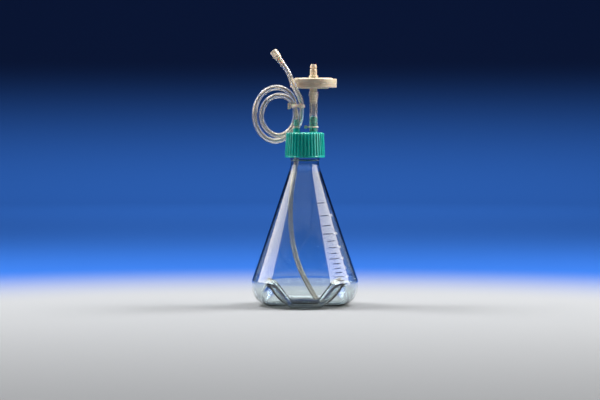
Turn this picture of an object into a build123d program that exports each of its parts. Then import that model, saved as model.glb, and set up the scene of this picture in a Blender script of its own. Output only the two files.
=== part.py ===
from build123d import *
from math import cos, pi, radians, tan
import os

os.makedirs("parts", exist_ok=True)

# One litre shaker flask with a two-port transfer cap. Millimetres, +Z up, the base's centre on
# the table is the origin, and the front is -Y. Both ports lie on the X axis.

# ---- flask ----
WALL = 2.0
FOOT_INNER_R = 28.0
FOOT_OUTER_R = 44.5
PUSH_UP_R = 24.0
PUSH_UP = 1.6
HEEL_MID = (59.3, 7.6)
BODY_R = 65.5
HEEL_TOP_Z = 23.0
CONE_FOOT_Z = 30.5
CONE_FOOT_BLEND_R = 4.0
CONE_HALF_ANGLE = 18.8
THROAT_R = 17.6
THROAT_TOP_Z = 177.8
THROAT_BLEND_R = 38.0
FINISH_R = 18.7
FINISH_Z = 179.0
BORE_R = 16.1
RIM_Z = 205.4

# ---- baffles: V-shaped notches pressed into the base ----
BAFFLE_COUNT = 4
BAFFLE_AZIMUTH = 46.0
BAFFLE_INNER_R = 24.0
BAFFLE_PEAK_R = 50.0
BAFFLE_PEAK_Z = 25.0
BAFFLE_END_R = 72.0
BAFFLE_END_Z = 28.5
BAFFLE_SPREAD = 0.8

# ---- thread ----
PITCH = 4.2
THREAD_TURNS = 2.0
NECK_THREAD_R = 20.3
NECK_THREAD_Z = 190.6
NECK_THREAD_ROOT = 2.4
NECK_THREAD_CREST = 1.2
CAP_THREAD_TURNS = 1.75
CAP_THREAD_R = 19.4
CAP_THREAD_ROOT = 2.2
CAP_THREAD_CREST = 1.1
THREAD_BITE = 0.4

# ---- screw collar ----
COLLAR_Z = 182.1
COLLAR_HEIGHT = 30.6
COLLAR_FOOT_R = 24.6
COLLAR_TOP_R = 23.25
COLLAR_RIM_H = 1.9
COLLAR_BORE_R = 21.2
COLLAR_LIP = 2.5
COLLAR_MOUTH_R = 17.2
COLLAR_EDGE_R = 2.2
RIB_COUNT = 36
RIB_DEPTH = 0.8
RIB_WIDTH = 2.3
RUNNING_GAP = 0.15

# ---- port plate and gasket ----
PORT_X = 10.4
GASKET_H = 2.0
GASKET_R = 18.6
GASKET_HOLE_R = 16.4
FLANGE_R = 19.1
FLANGE_H = COLLAR_Z + COLLAR_HEIGHT - COLLAR_LIP - RUNNING_GAP - RIM_Z - GASKET_H
BOSS_R = 16.9
PLUG_R = 15.7
PLUG_WALL = 1.6
PLUG_Z = 202.6
PLATE_TOP_Z = COLLAR_Z + COLLAR_HEIGHT - 0.2
VENT_STUB_R = 4.7
VENT_STUB_TOP_Z = 214.0
VENT_BARB_TOP_Z = 231.5
LINE_STUB_R = 4.3
LINE_STUB_TOP_Z = 217.4
LINE_BARB_TOP_Z = 228.4
DIP_STUB_R = 3.6
DIP_STUB_Z = 200.8
DIP_BARB_Z = 189.6

# ---- tubing, by outer and inner radius ----
VENT_TUBE_R = 4.76
VENT_TUBE_BORE_R = 3.18
VENT_TUBE_TOP_Z = 262.3
BARB_SWELL = 0.35
TOP_SWELL_R = 5.95
LINE_R = 3.175
LINE_BORE_R = 1.6
VENT_BARB_RIDGE_R = 3.75
LINE_BARB_RIDGE_R = 2.1
VENT_BARB_BORE_R = 2.2
LINE_BARB_BORE_R = 1.0
BARB_SLACK = 0.03
END_GAP = 0.1

# ---- vent filter ----
DISC_R = 28.6
DISC_Z = 266.6
DISC_TOP_Z = 279.2
SEAM_Z = 272.6
SHELL = 1.8
MEMBRANE_H = 0.6
MEMBRANE_R = 26.6
CAVITY_R = 25.2
SUPPORT_H = 1.6
SUPPORT_R = 24.9
SUPPORT_BAR = 1.2
SUPPORT_RINGS = 4
SUPPORT_SPOKES = 8
HUB_R = 4.6
FILTER_BARB_Z = 248.5
HOSE_BARB_R = 4.4
HOSE_BARB_FOOT_R = 5.65
HOSE_BARB_FOOT_Z = 282.1
HOSE_BARB_STEP_Z = 290.1
HOSE_BARB_TIP_R = 3.83
HOSE_BARB_TOP_Z = 296.2

# ---- luer connector, along its own axis from the tube's end ----
LUER_FLANGE_R = 4.1
LUER_FLANGE_H = 1.8
LUER_STEM_R = 2.6
LUER_COLLAR_R = 4.75
LUER_COLLAR_H = 9.6
LUER_COLLAR_WALL = 0.9
LUER_COLLAR_GAP = 0.3
LUER_TIP_R = 2.1
LUER_TIP_END_R = 1.98
LUER_TIP_Z = 12.0
LUER_BARB_H = 8.0
LUER_RIBS = 10

# ---- cable ties ----
TIE_T = 1.1
VENT_TIE_Z = 219.3
VENT_TIE_H = 1.8
LINE_TIE_Z = 219.0
COIL_TIE_Z = 245.0
COIL_TIE_H = 3.6
COIL_TIE_SLACK = 0.3
COIL_TIE_HEAD = (4.0, 5.4, 7.4)
TIE_HEAD = (3.3, 3.4, 3.8)
TIE_LINK_W = 1.5

# ---- routes ----
# The transfer tube: up from the left port, round a small loop, round a large loop, up past the
# front of the filter to the luer connector.
LINE_ROUTE = [
    (-10.4, 0.0, LINE_STUB_TOP_Z), (-10.4, 0.0, 231.0), (-12.0, 0.0, 244.6), (-20.2, 0.2, 255.8),
    (-33.0, 0.8, 259.0), (-45.2, 1.6, 253.8), (-53.2, 2.4, 242.2), (-54.0, 3.8, 228.0),
    (-47.6, 6.6, 215.4), (-36.2, 10.6, 207.8), (-23.8, 16.4, 210.0), (-15.4, 17.8, 219.0),
    (-12.0, 13.2, 229.6), (-11.6, 8.2, 240.6), (-12.6, 7.4, 251.8), (-18.8, 7.0, 261.8),
    (-29.8, 6.2, 268.2), (-42.8, 5.2, 267.4), (-53.6, 4.4, 259.6), (-60.4, 3.8, 247.8),
    (-62.4, 4.0, 234.0), (-60.0, 5.4, 220.2), (-52.8, 8.6, 208.4), (-41.4, 13.4, 201.6),
    (-28.8, 19.2, 202.8), (-18.4, 23.6, 210.4), (-9.8, 21.8, 218.6), (-5.0, 15.6, 226.8),
    (-4.3, 7.6, 235.0), (-4.1, -0.8, 243.2), (-4.6, -9.6, 250.6), (-7.2, -18.2, 257.2),
    (-11.8, -24.6, 265.0), (-15.8, -26.2, 274.4), (-19.2, -23.0, 284.0), (-25.0, -18.0, 293.6),
    (-31.8, -14.0, 302.6),
]
STEM_RUN = 1
INNER_RETURN_RUN = 12
OUTER_RETURN_RUN = 27
# The dip tube: down from the left port, bowed towards the wall and back across the floor.
DIP_ROUTE = [
    (-10.4, 0.0, DIP_STUB_Z), (-10.4, 0.0, 187.0), (-11.9, -0.3, 168.0), (-15.6, -0.9, 150.0),
    (-17.8, -1.5, 129.0), (-17.9, -2.0, 108.0), (-16.6, -2.4, 88.0), (-13.4, -2.6, 68.0),
    (-7.6, -2.4, 48.5), (1.8, -2.0, 28.5), (14.1, -1.6, 6.9),
]


def turned(points):
    """The solid of revolution about +Z of a closed outline of (radius, height) points."""
    return revolve(Plane.XZ * make_face(Polyline(*points, close=True)), axis=Axis.Z)


def ring(inner, outer, low, high):
    return turned([(inner, low), (outer, low), (outer, high), (inner, high)])


def rod(radius, low, high):
    return turned([(0, low), (radius, low), (radius, high), (0, high)])


def barb(stem_r, ridge_r, foot, tip, ridges, grow=0.0):
    """A hose barb from its foot to its tip, with saw-tooth ridges that ramp towards the tip."""
    way = 1 if tip > foot else -1
    tooth = abs(tip - foot) / (ridges + 1.2)
    points = [(0, foot), (stem_r + grow, foot)]
    for index in range(ridges):
        edge = tip - way * (tooth * (ridges - index) - 0.1 * tooth)
        points.append((stem_r + grow, edge))
        points.append((ridge_r + grow, edge + way * 0.15 * tooth))
        points.append((stem_r + grow, edge + way * 0.85 * tooth))
    points += [(stem_r - 0.15 + grow, tip + way * grow), (0, tip + way * grow)]
    return turned(points)


def cone_r(z, inset=0.0):
    """The cone's radius at a height, less a wall thickness square to it."""
    slope = radians(CONE_HALF_ANGLE)
    return BODY_R - (z - CONE_FOOT_Z) * tan(slope) - inset / cos(slope)


def cone_z(r, inset=0.0):
    slope = radians(CONE_HALF_ANGLE)
    return CONE_FOOT_Z + (BODY_R - inset / cos(slope) - r) / tan(slope)


def flask_form(inset, throat_r, top_z):
    """The flask's outside, or its inside when inset is the wall thickness."""
    foot_z = inset
    body_r = BODY_R - inset
    heel_start = (FOOT_OUTER_R - 0.3 * inset, foot_z)
    heel_mid = (HEEL_MID[0] - 0.72 * inset, HEEL_MID[1] + 0.69 * inset)
    cone_foot = (body_r, cone_z(body_r, inset))
    throat = (throat_r, cone_z(throat_r, inset))
    outline = [
        Polyline((0, PUSH_UP + foot_z), (PUSH_UP_R - inset / 2, PUSH_UP + foot_z),
                 (FOOT_INNER_R - inset / 2, foot_z), heel_start),
        ThreePointArc(heel_start, heel_mid, (body_r, HEEL_TOP_Z)),
        Polyline((body_r, HEEL_TOP_Z), cone_foot, throat, (throat_r, top_z), (0, top_z),
                 (0, PUSH_UP + foot_z)),
    ]
    face = make_face(Curve() + outline)
    near_throat = [v for v in face.vertices() if abs(v.Y - throat[1]) < 0.01 and v.X > 1]
    face = fillet(near_throat, THROAT_BLEND_R)
    near_foot = [v for v in face.vertices() if abs(v.Y - cone_foot[1]) < 0.01 and v.X > 1]
    face = fillet(near_foot, CONE_FOOT_BLEND_R)
    return revolve(Plane.XZ * face, axis=Axis.Z)


def baffle_notch(raise_z):
    """A V-shaped wedge, along +X, that pushes the base inwards. Its ridge climbs outwards."""
    floor = -2.0
    slope = BAFFLE_PEAK_Z / (BAFFLE_PEAK_R - BAFFLE_INNER_R)
    start_r = BAFFLE_INNER_R - (raise_z - floor) / slope + 0.2
    sections = []
    for r, ridge in (
        (start_r, (start_r - BAFFLE_INNER_R) * slope + raise_z),
        (BAFFLE_PEAK_R, BAFFLE_PEAK_Z + raise_z),
        (BAFFLE_END_R, BAFFLE_END_Z + raise_z),
    ):
        half = BAFFLE_SPREAD * (ridge - floor)
        triangle = Polyline((-half, floor), (half, floor), (0, ridge), close=True)
        plane = Plane(origin=(r, 0, 0), x_dir=(0, 1, 0), z_dir=(1, 0, 0))
        sections.append(plane * make_face(triangle))
    return loft(sections, ruled=True)


def helical_rib(axis_r, turns, start_z, root, crest, crest_r):
    """A right-hand thread of trapezoid section, from axis_r to crest_r, outwards or inwards."""
    path = Helix(PITCH, PITCH * turns, axis_r, center=(0, 0, start_z))
    plane = Plane(origin=path @ 0, x_dir=(1, 0, 0), z_dir=path % 0)
    reach = crest_r - axis_r
    outline = Polyline((0, -root / 2), (reach, -crest / 2), (reach, crest / 2), (0, root / 2),
                       close=True)
    return sweep(plane * make_face(outline), path=path, is_frenet=True)


def arc_radii(route):
    """The largest arc that each corner of a route has room for."""
    radii = []
    for before, corner, after in zip(route, route[1:], route[2:]):
        coming = Vector(*corner) - Vector(*before)
        going = Vector(*after) - Vector(*corner)
        half_turn = radians(coming.get_angle(going) / 2)
        radii.append(0.45 * min(coming.length, going.length) / tan(half_turn))
    return radii


def tube_along(name, route, radius):
    """A round rod along a route of straight runs joined by tangent arcs."""
    radii = arc_radii(route)
    path = FilletPolyline(*route, radius=radii)
    plane = Plane(origin=path @ 0, z_dir=path % 0)
    solid = sweep(plane * Circle(radius), path=path)
    print(name, "length", round(path.length, 1), "radii", [round(r, 1) for r in radii])
    print(name, "volume", round(solid.volume, 1), "section x length",
          round(pi * radius**2 * path.length, 1))
    return solid


def rising_pass(route, run, z):
    """The (x, y) where a route that rises from a run on passes a height."""
    while route[run + 1][2] < z:
        run += 1
    low, high = route[run], route[run + 1]
    share = (z - low[2]) / (high[2] - low[2])
    return low[0] + share * (high[0] - low[0]), low[1] + share * (high[1] - low[1])


def save(node, shape):
    export_step(shape, f"parts/{node}.step")


# ---- flask body ----
def flask_body():
    outer = flask_form(0.0, THROAT_R, FINISH_Z)
    inner = flask_form(WALL, BORE_R, RIM_Z + 1)
    wall_rise = WALL * (1 + BAFFLE_SPREAD**2) ** 0.5 / BAFFLE_SPREAD
    for index in range(BAFFLE_COUNT):
        turn = Rot(0, 0, BAFFLE_AZIMUTH + index * 360 / BAFFLE_COUNT)
        outer -= turn * baffle_notch(0.0)
        inner -= turn * baffle_notch(wall_rise)
    finish = turned([
        (0, THROAT_TOP_Z), (THROAT_R, THROAT_TOP_Z), (FINISH_R, FINISH_Z), (FINISH_R, RIM_Z - 0.5),
        (FINISH_R - 0.5, RIM_Z), (0, RIM_Z),
    ])
    thread = helical_rib(FINISH_R - THREAD_BITE, THREAD_TURNS, NECK_THREAD_Z, NECK_THREAD_ROOT,
                         NECK_THREAD_CREST, NECK_THREAD_R)
    return outer + finish + thread - inner


# ---- screw collar ----
def screw_collar():
    top_z = COLLAR_Z + COLLAR_HEIGHT
    lip_z = top_z - COLLAR_LIP
    foot_r = COLLAR_FOOT_R - RIB_DEPTH
    top_r = COLLAR_TOP_R - RIB_DEPTH
    edge = COLLAR_EDGE_R
    skirt = turned([
        (COLLAR_BORE_R, COLLAR_Z), (COLLAR_FOOT_R, COLLAR_Z), (COLLAR_FOOT_R, COLLAR_Z + COLLAR_RIM_H),
        (foot_r, COLLAR_Z + COLLAR_RIM_H + 0.6), (top_r, top_z - edge), (top_r - edge * 0.3, top_z - 0.7),
        (top_r - edge * 0.8, top_z), (COLLAR_MOUTH_R, top_z), (COLLAR_MOUTH_R, lip_z),
        (COLLAR_BORE_R, lip_z),
    ])
    rib_foot_z = COLLAR_Z + COLLAR_RIM_H - 0.2
    rib_side = Polyline(
        (foot_r - 0.5, rib_foot_z), (COLLAR_FOOT_R - 0.1, rib_foot_z),
        (COLLAR_TOP_R, top_z - edge - 0.4), (COLLAR_TOP_R - 0.55, top_z - 1.1),
        (top_r - 0.5, top_z - edge), close=True,
    )
    rib = extrude(Plane.XZ * make_face(rib_side), RIB_WIDTH / 2, both=True)
    rib = chamfer(rib.edges().filter_by(lambda e: e.center().X > COLLAR_TOP_R - 0.2 and
                                        abs(abs(e.center().Y) - RIB_WIDTH / 2) < 0.01 and
                                        e.length > 10), 0.35)
    ribs = [Rot(0, 0, index * 360 / RIB_COUNT) * rib for index in range(RIB_COUNT)]
    thread = helical_rib(COLLAR_BORE_R + THREAD_BITE, CAP_THREAD_TURNS, NECK_THREAD_Z + PITCH / 2,
                         CAP_THREAD_ROOT, CAP_THREAD_CREST, CAP_THREAD_R)
    return skirt + ribs + thread


# ---- gasket and port plate ----
def port_barbs(grow=0.0):
    """The three barbs: vent, transfer line and dip tube, each in its own place."""
    vent = Pos(PORT_X, 0, 0) * barb(VENT_TUBE_BORE_R - BARB_SLACK, VENT_BARB_RIDGE_R,
                                    VENT_STUB_TOP_Z, VENT_BARB_TOP_Z, 3, grow)
    line = Pos(-PORT_X, 0, 0) * barb(LINE_BORE_R, LINE_BARB_RIDGE_R, LINE_STUB_TOP_Z,
                                     LINE_BARB_TOP_Z, 3, grow)
    dip = Pos(-PORT_X, 0, 0) * barb(LINE_BORE_R, LINE_BARB_RIDGE_R, DIP_STUB_Z, DIP_BARB_Z, 3, grow)
    return vent, line, dip


def port_plate():
    flange_top = RIM_Z + GASKET_H + FLANGE_H
    plate = turned([
        (0, RIM_Z + GASKET_H), (FLANGE_R, RIM_Z + GASKET_H), (FLANGE_R, flange_top),
        (BOSS_R, flange_top), (BOSS_R, PLATE_TOP_Z - 0.4), (BOSS_R - 0.4, PLATE_TOP_Z),
        (0, PLATE_TOP_Z),
    ])
    plate += ring(PLUG_R - PLUG_WALL, PLUG_R, PLUG_Z, RIM_Z + GASKET_H)
    plate += Pos(PORT_X, 0, 0) * rod(VENT_STUB_R, PLATE_TOP_Z - 1, VENT_STUB_TOP_Z)
    plate += Pos(-PORT_X, 0, 0) * rod(LINE_STUB_R, PLATE_TOP_Z - 1, LINE_STUB_TOP_Z)
    plate += Pos(-PORT_X, 0, 0) * rod(DIP_STUB_R, DIP_STUB_Z, RIM_Z + GASKET_H + 1)
    for piece in port_barbs():
        plate += piece
    plate -= Pos(PORT_X, 0, 0) * rod(VENT_BARB_BORE_R, PLUG_Z - 1, VENT_BARB_TOP_Z + 1)
    plate -= Pos(-PORT_X, 0, 0) * rod(LINE_BARB_BORE_R, DIP_BARB_Z - 1, LINE_BARB_TOP_Z + 1)
    return plate


def cap_gasket():
    return ring(GASKET_HOLE_R, GASKET_R, RIM_Z, RIM_Z + GASKET_H)


# ---- vent line ----
def filter_barb(grow=0.0):
    return barb(VENT_TUBE_BORE_R - BARB_SLACK, VENT_BARB_RIDGE_R, VENT_TUBE_TOP_Z, FILTER_BARB_Z, 3,
                grow)


def vent_tube():
    outline = turned([
        (VENT_TUBE_BORE_R, VENT_STUB_TOP_Z), (VENT_TUBE_R + BARB_SWELL, VENT_STUB_TOP_Z),
        (VENT_TUBE_R + BARB_SWELL, VENT_BARB_TOP_Z - 2), (VENT_TUBE_R, VENT_BARB_TOP_Z + 2),
        (VENT_TUBE_R, FILTER_BARB_Z - 1), (VENT_TUBE_R + BARB_SWELL, FILTER_BARB_Z + 2.5),
        (VENT_TUBE_R + BARB_SWELL, VENT_TUBE_TOP_Z - 5.4), (TOP_SWELL_R - 0.4, VENT_TUBE_TOP_Z - 4.6),
        (TOP_SWELL_R, VENT_TUBE_TOP_Z - 3.6), (TOP_SWELL_R, VENT_TUBE_TOP_Z - 1),
        (TOP_SWELL_R - 0.6, VENT_TUBE_TOP_Z), (VENT_TUBE_BORE_R, VENT_TUBE_TOP_Z),
    ])
    return Pos(PORT_X, 0, 0) * outline - port_barbs()[0] - Pos(PORT_X, 0, 0) * filter_barb()


def filter_lower_housing():
    rim_step = 0.3
    shell = turned([
        (0, DISC_Z), (DISC_R - 0.8, DISC_Z), (DISC_R, DISC_Z + 0.8), (DISC_R, SEAM_Z + MEMBRANE_H / 2),
        (MEMBRANE_R + 0.2, SEAM_Z + MEMBRANE_H / 2), (MEMBRANE_R + 0.2, SEAM_Z), (CAVITY_R, SEAM_Z),
        (CAVITY_R, DISC_Z + SHELL), (0, DISC_Z + SHELL),
    ])
    lip = ring(DISC_R - 2.2, DISC_R - rim_step, DISC_Z - 0.5, DISC_Z + 0.5)
    hub = rod(HUB_R, VENT_TUBE_TOP_Z, DISC_Z + 0.5)
    body = shell + lip + hub + filter_barb() - rod(VENT_BARB_BORE_R, FILTER_BARB_Z - 1, DISC_Z + SHELL + 1)
    return Pos(PORT_X, 0, 0) * body


def filter_upper_housing():
    seam = SEAM_Z + MEMBRANE_H / 2
    top = SEAM_Z + MEMBRANE_H
    shell = turned([
        (CAVITY_R, top), (MEMBRANE_R + 0.2, top), (MEMBRANE_R + 0.2, seam), (DISC_R, seam),
        (DISC_R, DISC_TOP_Z - 1), (DISC_R - 1, DISC_TOP_Z), (0, DISC_TOP_Z), (0, DISC_TOP_Z - SHELL),
        (CAVITY_R, DISC_TOP_Z - SHELL),
    ])
    spigot = turned([
        (0, DISC_TOP_Z - 1), (HOSE_BARB_FOOT_R, DISC_TOP_Z - 1), (HOSE_BARB_FOOT_R, HOSE_BARB_FOOT_Z - 0.4),
        (HOSE_BARB_FOOT_R - 0.4, HOSE_BARB_FOOT_Z), (HOSE_BARB_R, HOSE_BARB_FOOT_Z),
        (HOSE_BARB_R, HOSE_BARB_STEP_Z), (HOSE_BARB_TIP_R - 0.5, HOSE_BARB_STEP_Z + 0.5),
        (HOSE_BARB_TIP_R - 0.5, HOSE_BARB_STEP_Z + 1.0), (HOSE_BARB_TIP_R, HOSE_BARB_STEP_Z + 1.4),
        (HOSE_BARB_TIP_R, HOSE_BARB_TOP_Z - 1.5), (HOSE_BARB_TIP_R - 0.8, HOSE_BARB_TOP_Z),
        (0, HOSE_BARB_TOP_Z),
    ])
    bore = rod(VENT_BARB_BORE_R, DISC_TOP_Z - SHELL - 1, HOSE_BARB_TOP_Z + 1)
    return Pos(PORT_X, 0, 0) * (shell + spigot - bore)


def filter_membrane():
    return Pos(PORT_X, 0, 0) * rod(MEMBRANE_R, SEAM_Z, SEAM_Z + MEMBRANE_H)


def membrane_support(low):
    """A spoked grid that keeps the membrane flat."""
    high = low + SUPPORT_H
    grid = rod(2 * SUPPORT_BAR, low, high)
    for index in range(SUPPORT_RINGS):
        outer = SUPPORT_R * (index + 1) / SUPPORT_RINGS
        grid += ring(outer - SUPPORT_BAR, outer, low, high)
    bar = Pos(0, 0, (low + high) / 2) * Box(2 * SUPPORT_R - SUPPORT_BAR, SUPPORT_BAR, SUPPORT_H)
    for index in range(SUPPORT_SPOKES // 2):
        grid += Rot(0, 0, index * 360 / SUPPORT_SPOKES) * bar
    return Pos(PORT_X, 0, 0) * grid


# ---- luer connector ----
def luer_plane():
    end = Vector(*LINE_ROUTE[-1])
    along = end - Vector(*LINE_ROUTE[-2])
    return Plane(origin=end, z_dir=along.normalized())


def luer_barb(grow=0.0):
    return barb(LINE_BORE_R, LINE_BARB_RIDGE_R, 0, -LUER_BARB_H, 2, grow)


def luer_fitting():
    base = LUER_FLANGE_H
    collar_top = base + LUER_COLLAR_GAP + 1.4
    body = turned([
        (0, 0), (LUER_FLANGE_R - 0.5, 0), (LUER_FLANGE_R, 0.5), (LUER_FLANGE_R, base),
        (LUER_STEM_R, base), (LUER_STEM_R, collar_top), (LUER_STEM_R + 0.35, collar_top + 0.3),
        (LUER_TIP_R, collar_top + 1.1), (LUER_TIP_END_R, LUER_TIP_Z), (0, LUER_TIP_Z),
    ])
    body += luer_barb()
    return luer_plane() * (body - rod(LINE_BARB_BORE_R, -LUER_BARB_H - 1, LUER_TIP_Z + 1))


def luer_lock_collar():
    low = LUER_FLANGE_H + LUER_COLLAR_GAP
    high = low + LUER_COLLAR_H
    inner_r = LUER_COLLAR_R - LUER_COLLAR_WALL
    cup = turned([
        (LUER_STEM_R + 0.1, low), (LUER_COLLAR_R - 0.5, low), (LUER_COLLAR_R - 0.3, low + 0.6),
        (LUER_COLLAR_R - 0.3, high - 1.6), (LUER_COLLAR_R, high - 1.2), (LUER_COLLAR_R, high),
        (inner_r, high), (inner_r, low + 1.2), (LUER_STEM_R + 0.1, low + 1.2),
    ])
    rib = Pos(LUER_COLLAR_R - 0.35, 0, (low + high) / 2 - 0.5) * Box(0.7, 0.9, LUER_COLLAR_H - 3)
    for index in range(LUER_RIBS):
        cup += Rot(0, 0, index * 360 / LUER_RIBS) * rib
    return luer_plane() * cup


# ---- tubes on a route ----
line_rod = tube_along("transfer tube", LINE_ROUTE, LINE_R)


def transfer_tube():
    return line_rod - port_barbs()[1] - luer_plane() * luer_barb()


def dip_tube():
    solid = tube_along("dip tube", DIP_ROUTE, LINE_R)
    bore = tube_along("dip tube bore", DIP_ROUTE, LINE_BORE_R)
    seat = Pos(-PORT_X, 0, 0) * rod(DIP_STUB_R, DIP_STUB_Z - END_GAP, DIP_STUB_Z + 1)
    return solid - bore - port_barbs(grow=0.05)[2] - seat


# ---- cable ties ----
def round_tie(x, z, height, tube_r, head_way, neck):
    """A strap round a tube with its head on a short neck to one side."""
    strap = ring(tube_r, tube_r + TIE_T, z - height / 2, z + height / 2)
    reach = tube_r + TIE_T / 2
    link = Pos(reach + neck / 2, 0, z) * Box(neck + TIE_T, TIE_LINK_W, height)
    head = Pos(reach + neck + TIE_HEAD[0] / 2, 0, z) * Box(*TIE_HEAD)
    head = chamfer(head.edges(), 0.35)
    tie = strap + (link - rod(tube_r, z - height, z + height)) + head
    return Pos(x, 0, 0) * Rot(0, 0, head_way) * tie


def coil_tie():
    """A strap round three passes of the transfer tube, its head block on the left."""
    low = COIL_TIE_Z - COIL_TIE_H / 2
    high = low + COIL_TIE_H
    grip = LINE_R + COIL_TIE_SLACK
    circles = []
    for run in (STEM_RUN, INNER_RETURN_RUN, OUTER_RETURN_RUN):
        for z in (low, high):
            circles.append(Pos(*rising_pass(LINE_ROUTE, run, z)) * Circle(grip))
    hull = make_hull([edge for circle in circles for edge in circle.edges()])
    outside = offset(hull, amount=TIE_T)
    band = extrude(Pos(0, 0, low) * (outside - hull), COIL_TIE_H)
    left = outside.bounding_box().min.X
    middle = rising_pass(LINE_ROUTE, STEM_RUN, COIL_TIE_Z)
    head = Pos(left - 1.3, middle[1] + 0.5, COIL_TIE_Z) * Box(*COIL_TIE_HEAD)
    head = chamfer(head.edges(), 0.7) - extrude(Pos(0, 0, COIL_TIE_Z) * hull, COIL_TIE_HEAD[2], both=True)
    return band + head - line_rod


SHAPES = {
    "flask_body": flask_body,
    "screw_collar": screw_collar,
    "cap_gasket": cap_gasket,
    "port_plate": port_plate,
    "dip_tube": dip_tube,
    "vent_tube": vent_tube,
    "transfer_tube": transfer_tube,
    "filter_lower_housing": filter_lower_housing,
    "filter_upper_housing": filter_upper_housing,
    "filter_membrane": filter_membrane,
    "lower_membrane_support": lambda: membrane_support(SEAM_Z - SUPPORT_H),
    "upper_membrane_support": lambda: membrane_support(SEAM_Z + MEMBRANE_H),
    "luer_fitting": luer_fitting,
    "luer_lock_collar": luer_lock_collar,
    "vent_tube_tie": lambda: round_tie(PORT_X, VENT_TIE_Z, VENT_TIE_H, VENT_TUBE_R + BARB_SWELL, 180, 2.2),
    "transfer_tube_tie": lambda: round_tie(-PORT_X, LINE_TIE_Z, VENT_TIE_H, LINE_R, 80, 0.6),
    "coil_tie": coil_tie,
}

for node, make in SHAPES.items():
    save(node, make())
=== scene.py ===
"""Looks of the one litre shaker flask with its transfer cap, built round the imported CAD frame.

Metres, +Z up, the base's centre on the floor is the origin, and the front is -Y. Azimuths are
degrees about +Z from +X.
"""

import math

import bmesh
import bpy
import numpy as np
from mathutils import Matrix, Vector


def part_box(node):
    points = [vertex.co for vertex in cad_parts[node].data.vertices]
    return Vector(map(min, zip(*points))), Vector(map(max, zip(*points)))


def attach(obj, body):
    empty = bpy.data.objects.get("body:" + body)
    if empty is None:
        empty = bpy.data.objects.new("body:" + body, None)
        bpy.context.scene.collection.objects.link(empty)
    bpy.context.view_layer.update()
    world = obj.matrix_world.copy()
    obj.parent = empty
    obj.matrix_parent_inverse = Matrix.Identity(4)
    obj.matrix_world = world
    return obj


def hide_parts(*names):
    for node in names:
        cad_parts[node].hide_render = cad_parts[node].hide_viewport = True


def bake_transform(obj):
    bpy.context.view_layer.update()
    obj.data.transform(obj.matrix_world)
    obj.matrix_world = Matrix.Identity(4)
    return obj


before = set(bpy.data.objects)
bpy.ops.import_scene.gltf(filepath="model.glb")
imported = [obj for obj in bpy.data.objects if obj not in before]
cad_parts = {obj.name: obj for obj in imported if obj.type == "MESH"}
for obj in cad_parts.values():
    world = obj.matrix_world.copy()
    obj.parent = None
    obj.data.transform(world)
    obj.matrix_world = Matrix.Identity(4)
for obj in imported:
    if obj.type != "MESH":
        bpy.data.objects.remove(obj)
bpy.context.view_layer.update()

MM = 0.001
FULL_TURN = 2 * math.pi

# ---- places and sizes that the CAD model gives ----
BODY_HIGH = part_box("flask_body")[1]
COLLAR_LOW, COLLAR_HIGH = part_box("screw_collar")
PLATE_LOW, PLATE_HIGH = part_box("port_plate")
DISC_LOW, DISC_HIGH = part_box("filter_upper_housing")
LOWER_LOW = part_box("filter_lower_housing")[0]
PORT_X = (DISC_LOW.x + DISC_HIGH.x) / 2
BODY_R = BODY_HIGH.x
RIM_Z = BODY_HIGH.z

# ---- flask ----
WALL = 2.0 * MM
PUSH_UP_R = 24.0 * MM
PUSH_UP = 1.6 * MM
FOOT_INNER_R = 28.0 * MM
FOOT_OUTER_R = 44.5 * MM
HEEL_MID = (59.3 * MM, 7.6 * MM)
HEEL_TOP_Z = 23.0 * MM
CONE_FOOT_Z = 30.5 * MM
CONE_SLOPE = math.radians(18.8)
THROAT_R = 17.6 * MM
THROAT_TOP_Z = 177.8 * MM
THROAT_BLEND_R = 38.0 * MM
FINISH_R = 18.7 * MM
FINISH_Z = 179.0 * MM
BORE_R = 16.1 * MM
PITCH = 4.2 * MM
NECK_THREAD_Z = 190.6 * MM
NECK_THREAD_TURNS = 2.0
NECK_THREAD_HEIGHT = 1.6 * MM
THREAD_ROOT = 2.4 * MM
THREAD_CREST = 1.2 * MM

# ---- baffles: V-shaped dents in the base ----
BAFFLE_COUNT = 4
BAFFLE_AZIMUTH = math.radians(46.0)
BAFFLE_INNER_R = 24.0 * MM
BAFFLE_PEAK_R = 50.0 * MM
BAFFLE_PEAK_Z = 25.0 * MM
BAFFLE_OUTER_SLOPE = 3.5 / 22.0
BAFFLE_SPREAD = 0.8
BAFFLE_EDGE = 1.6 * MM
BAFFLE_BLEND = 3.0 * MM

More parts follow.
